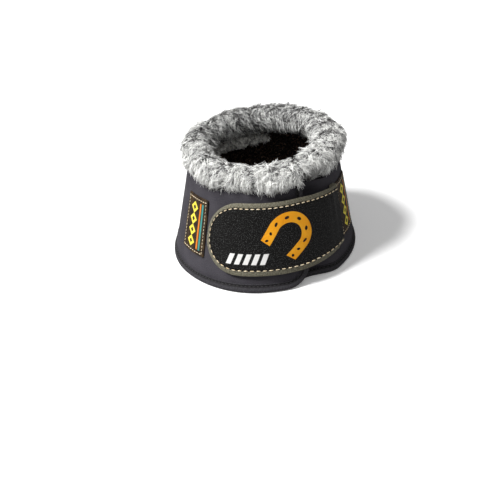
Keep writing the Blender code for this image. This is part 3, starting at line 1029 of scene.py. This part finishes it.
def rollPile(roll, low, high, seed, shapes, look=pileFlow):
    chance = random.Random(seed)
    places = []
    span = math.radians(roll["high"] - roll["low"])
    area = math.radians(high - low) * roll["ring"] * span * (roll["core"] + look["above"])
    for _ in range(int(area / roll["spacing"] ** 2)):
        angle = chance.uniform(low, high)
        turn = math.radians(chance.uniform(roll["low"], roll["high"]))
        if chance.random() > (roll["ring"] + look["thinReach"] * math.cos(turn)) / look["thinWidest"]:
            continue
        radius = rollRadius(roll, angle, turn)
        near = min(angle - roll["start"], roll["end"] - angle)
        if radius < roll["core"] * look["endSize"] or near < roll["notch"] and turn < look["notchTop"]:
            continue  # the two ends part below
        spot = onRoll(roll, angle, turn, radius)
        outwards, rise = onRing(angle, 1.0, 0.0), Vector((0, 0, 1))
        around = onRing(angle + 90, 1.0, 0.0)
        normal = outwards * math.cos(turn) + rise * math.sin(turn)
        over = rise * math.cos(turn) - outwards * math.sin(turn)
        swirl = noise.noise_vector(spot / look["coarse"])
        swirl += noise.noise_vector(spot / look["fine"] + Vector(look["fineShift"])) * look["fineShare"]
        flow = over * (look["over"] * math.cos(turn) + look["overSwirl"] * swirl.x)
        flow += around * (look["aroundSwirl"] * swirl.y + look["around"])
        clump = noise.noise(spot / look["clump"] + Vector(look["clumpShift"]))
        tilt = look["lean"] + look["leanSwirl"] * swirl.z - look["leanClump"] * clump
        tilt = math.radians(tilt + chance.gauss(0, look["leanSpread"]))
        size = chance.uniform(*look["sizes"]) * (1 + look["clumpSize"] * clump)
        size *= 1 + look["widest"] * max(0.0, math.cos(turn))
        matrix = lean(normal, flow.normalized(), tilt).to_4x4() @ Matrix.Scale(size, 4)
        matrix.translation = spot
        places.append((chance.randrange(len(shapes)), matrix))
    return places


def dressRoll(name, roll, shapes, seed, finish):
    for number, length in enumerate(lengths):
        if not overlaps(length, roll["start"], roll["end"]):
            continue
        low, high = max(length["low"], roll["start"]), min(length["high"], roll["end"])
        core = makePiece(f"{name}Roll{number}", makeRoll(roll, low, high), finish)
        carry(core, length, foldReach)
        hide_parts(*["collar_" + body for body in length["bodies"]])
        spots = rollPile(roll, low, high, seed + number, shapes)
        if spots:
            pile = makePiece(f"{name}Pile{number}", scatter("pile", shapes, spots), finish, smooth=None)
            carry(pile, length, foldReach)


dressRoll("collar", collar, tufts, seeds["collar"], fleecePile)
dressRoll("facing", facing, shortTufts, seeds["facing"], facingPile)


print("inner pile")

inside = {"spacing": 0.0022, "low": 0.010, "high": 0.084, "flapGap": 7.0, "lapStart": 350.0, "ring": 0.066,
          "clear": 0.003, "swirl": 0.012, "sizes": (0.8, 1.2), "lean": 58, "leanSwirl": 22,
          "down": 0.6, "downSwirl": 0.8, "aroundSwirl": 1.2}


def liningSpots(length, seed):
    chance = random.Random(seed)
    low, high = max(length["low"], wrap["start"] + inside["flapGap"]), min(length["high"], inside["lapStart"])
    places = []
    if low >= high:
        return places
    area = math.radians(high - low) * inside["ring"] * (inside["high"] - inside["low"])
    for _ in range(int(area / inside["spacing"] ** 2)):
        angle = chance.uniform(low, high)
        height = chance.uniform(inside["low"], inside["high"])
        if angle < folds[0] and height > shellCut["underEnd"] - inside["clear"]:
            continue
        offset = -wallDepth + (dive(angle) if angle < folds[0] else 0.0)
        spot = onWall(angle, height, offset)
        inwards = -onRing(angle, 1.0, 0.0)
        around = onRing(angle + 90, 1.0, 0.0)
        swirl = noise.noise_vector(spot / inside["swirl"])
        down = Vector((0, 0, -1)) * (inside["down"] + inside["downSwirl"] * swirl.x)
        flow = (down + around * inside["aroundSwirl"] * swirl.y).normalized()
        tilt = math.radians(inside["lean"] + inside["leanSwirl"] * swirl.z)
        matrix = lean(inwards, flow, tilt).to_4x4() @ Matrix.Scale(chance.uniform(*inside["sizes"]), 4)
        matrix.translation = spot
        places.append((chance.randrange(len(shortTufts)), matrix))
    return places


for number, length in enumerate(lengths):
    places = liningSpots(length, seeds["inner"] + number)
    if places:
        pile = makePiece(f"liningPile{number}", scatter("pile", shortTufts, places), liningPile, smooth=None)
        carry(pile, length)


print("labels")


def makeBadge(body):
    middle = sum(folds[segments.index(body) - 1:segments.index(body) + 1]) / 2
    half, tall = along(badge["angle"] / 2, badge["flatRadius"]), (badge["high"] - badge["low"]) / 2
    centre = (badge["high"] + badge["low"]) / 2
    shape = flatShape([(-half, -tall), (half, -tall), (half, tall), (-half, tall)],
                      {number: badge["corner"] for number in range(4)})
    thicken(shape, badge["out"], badge["out"] + badge["thick"])
    for place in (badge["edgeCut"], *(badge["stitchInset"] + shift for shift in badge["grooveCuts"])):
        for side in (-1, 1):
            cutAt(shape, 0, side * (half - place))
            cutAt(shape, 1, side * (tall - place))

    def relief(spot):
        if spot.z < badge["out"] + badge["thick"] / 2:
            return spot.z
        edge = min(half - abs(spot.x), tall - abs(spot.y))
        rise = badge["puff"] * ease(edge / badge["puffOver"])
        rise -= badge["groove"] * math.exp(-((edge - badge["stitchInset"]) / badge["grooveWidth"]) ** 2)
        return badge["out"] + badge["thick"] - badge["puff"] + rise

    dress("label_" + body, shape, labelCloth, "label", "label", badge["flatRadius"], middle, centre,
          badge["steps"], relief)
    x, y = half - badge["stitchInset"], tall - badge["stitchInset"]
    box = [(-x, centre - y), (x, centre - y), (x, centre + y), (-x, centre + y), (-x, centre - y)]
    sew("labelStitches_" + body, march(box, badge["stitchPitch"]),
        badge["out"] + badge["thick"] - badge["sunk"], creamThread, smallStitch, badge["flatRadius"], middle)


for node in sorted(frame["nodes"]):
    if node.startswith("label_"):
        makeBadge(node[len("label_"):])


print("loop patch")

patch = {"flatRadius": 0.0705, "start": 335.0, "end": 378.8, "corner": 0.020, "endCorner": 0.003,
         "out": 0.0003, "thick": 0.0012, "rib": 0.0026, "ribDepth": 0.0006, "steps": (0.0026, 0.00065),
         **heights("loop_patch_over_flap")}
left, right = along(patch["start"], patch["flatRadius"]), along(patch["end"], patch["flatRadius"])
shape = flatShape([(left, patch["low"]), (right, patch["low"]), (right, patch["high"]), (left, patch["high"])],
                  {0: patch["corner"], 3: patch["corner"], 1: patch["endCorner"], 2: patch["endCorner"]})
thicken(shape, patch["out"], patch["out"] + patch["thick"])


def ribs(spot):
    if spot.z < patch["out"] + patch["thick"] / 2:
        return spot.z
    groove = 1 - abs(math.sin(math.pi * spot.y / patch["rib"]))
    return patch["out"] + patch["thick"] - patch["ribDepth"] * groove


dress("loopPatch", shape, loopTape, "loop_tape", "loop_patch",
      patch["flatRadius"], steps=patch["steps"], relief=ribs)


print("strap")


def alongStrap(angle):
    return along(angle, strap["flatRadius"])


strapEnds = [strap["end"], *strap["lengthEnds"], -wrap["beyond"]]


def strapLength(number):
    return strapEnds[number + 1], strapEnds[number]


def carryStrap(piece, number):
    fold, reach = strap["folds"][number], strap["foldReach"][number]
    height = (strap["low"] + strap["high"]) / 2
    radius = wallRadius(height)
    turn = math.degrees(reach / radius)
    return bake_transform(piece, *strapFolds[number], start=onRing(fold + turn, radius, height),
                    end=onRing(fold - turn, radius, height))


def fromEdge(x, y):
    # How far a flat point is in from the strap's edge
    left, corner = alongStrap(strap["tip"]), strap["corner"]
    plain = min(y - strap["low"], strap["high"] - y)
    if x >= left + corner:
        return plain
    low, high = strap["low"] + corner, strap["high"] - corner
    if low <= y <= high:
        return min(plain, x - left)
    return corner - math.hypot(left + corner - x, y - (low if y < low else high))


def fromSeam(x, y):
    left, up = strap["seamShift"]
    return fromEdge(x - left, y - up) - strap["stitchInset"]


def strapTop(edge):
    for (near, low), (far, high) in zip(strap["top"], strap["top"][1:]):
        if edge <= far:
            return low + (high - low) * max(0.0, (edge - near) / (far - near))
    return strap["top"][-1][1]


def taper(x, y):
    # How far a point of the untapered strap moves down
    start, end = alongStrap(strap["folds"][1]), alongStrap(strap["end"])
    share = max(0.0, (x - start) / (end - start))
    below, above = strap["narrow"]
    return share * (above * (y - strap["low"]) - below * (strap["high"] - y)) / (strap["high"] - strap["low"])


def strapPart(name, shape, number, finish, node, relief=None):
    low, high = strapLength(number)
    part = shape.copy()
    trim(part, alongStrap(low), alongStrap(high))
    for axis, step in enumerate(strap["steps"]):
        cutAcross(part, axis, step)
    markFlat(part)
    seamLayer = part.verts.layers.float.new("fromSeam")
    for vert in part.verts:
        vert[seamLayer] = fromSeam(vert.co.x, vert.co.y)
        if relief:
            vert.co.z = relief(vert)
        vert.co.y -= taper(vert.co.x, vert.co.y)
    wrapRound(part, strap["flatRadius"], dives=False)
    piece = makePiece(name, part, finish)
    carryStrap(piece, number)
    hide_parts(*node)


left, right = alongStrap(strap["tip"]), alongStrap(strap["end"]) + strap["spare"]
band = flatShape([(left, strap["low"]), (right, strap["low"]), (right, strap["high"]), (left, strap["high"])],
                 {0: strap["corner"], 3: strap["corner"]})
face = thicken(band, 0.0, 1.0)  # strapRelief gives it its true thickness
inset(band, face, [near for near, _ in strap["top"][1:-1]])
hookLeft, hookRight = left + hooks["inset"], alongStrap(hooks["end"])
hookLow, hookHigh = strap["low"] + hooks["inset"], strap["high"] - hooks["inset"]
hookCorner = strap["corner"] - hooks["inset"]
hookBand = flatShape([(hookLeft, hookLow), (hookRight, hookLow), (hookRight, hookHigh), (hookLeft, hookHigh)],
                     {0: hookCorner, 3: hookCorner, 1: hooks["corner"], 2: hooks["corner"]})
thicken(hookBand, hooks["low"], hooks["high"])


def strapRelief(vert):
    angle = math.degrees(vert.co.x / strap["flatRadius"])
    fromFold = angle - strap["folds"][0]
    sewn = ease((fromFold - strap["seamStart"]) / strap["seamOver"])
    inner = strap["inside"] * (1 - sewn) + wrap["gap"] * sewn
    if vert.co.z < 0.5:
        return inner
    spot = Vector((vert.co.x, vert.co.y, 0.0))
    slack = strap["slack"] * noise.noise(spot / strap["slackLength"])
    crease = strap["creaseDepth"] * math.exp(-((fromFold - strap["creaseAt"]) / strap["creaseWidth"]) ** 2)
    top = strapTop(fromEdge(vert.co.x, vert.co.y))
    return strap["inside"] + top + slack - crease - strap["seamDrop"] * sewn


for number, nodes in enumerate((["strap_sewn_end", "strap_face_near"],
                                ["strap_face_near", "strap_face_middle"],
                                ["strap_face_middle", "strap_face_tip"])):
    strapPart(f"strap{number}", band, number, strapLeather, nodes, strapRelief)
    hookNodes = [node.replace("face", "hooks") for node in nodes if "face" in node]
    strapPart(f"hooks{number}", hookBand, number, hookTape, hookNodes)
band.free()
hookBand.free()

# Stitches round the strap, one row
left, right = alongStrap(strap["tip"]), alongStrap(strap["end"] - strap["stitchEnd"])
bend = strap["corner"] - strap["stitchInset"]
shiftX, shiftY = strap["seamShift"]
line = [(right, strap["low"] + strap["stitchInset"] + shiftY)]
for height, first in ((strap["low"] + strap["corner"], 270), (strap["high"] - strap["corner"], 180)):
    for index in range(strap["turns"] + 1):
        turn = math.radians(first - 90 * index / strap["turns"])
        line.append((left + strap["corner"] + shiftX + bend * math.cos(turn),
                     height + shiftY + bend * math.sin(turn)))
line.append((right, strap["high"] - strap["stitchInset"] + shiftY))
threadOut = strap["inside"] + strap["stitchOut"]
for number in range(len(strapFolds)):
    low, high = [alongStrap(end) for end in strapLength(number)]
    spots = [(0, Matrix.Translation((x, y - taper(x, y), threadOut)) @ Matrix.Rotation(heading, 4, "Z"))
             for x, y, heading in march(line, strap["stitchPitch"]) if low <= x < high]
    shape = bmesh.new()
    shape.from_mesh(scatter("stitches", [stitch], spots))
    wrapRound(shape, strap["flatRadius"], dives=False)
    carryStrap(makePiece(f"strapStitches{number}", shape, creamThread, smooth=None), number)

# Bar tack under the strap's sewn end
tack = {**heights("strap_bar_tack"), "start": strap["folds"][0] + 0.2, "end": strap["folds"][0] + 3.7,
        "rows": 7, "out": 0.0003, "thick": 0.0009}
tackStitch = makeStitch("tackStitch", tack["high"] - tack["low"], tack["thick"])
spots = [(along(tack["start"] + (tack["end"] - tack["start"]) * (index + 0.5) / tack["rows"]),
          (tack["low"] + tack["high"]) / 2, math.pi / 2) for index in range(tack["rows"])]
for piece in sew("barTack", spots, wrap["gap"] + tack["out"], blackThread, tackStitch):
    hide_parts("strap_bar_tack")

print("done")
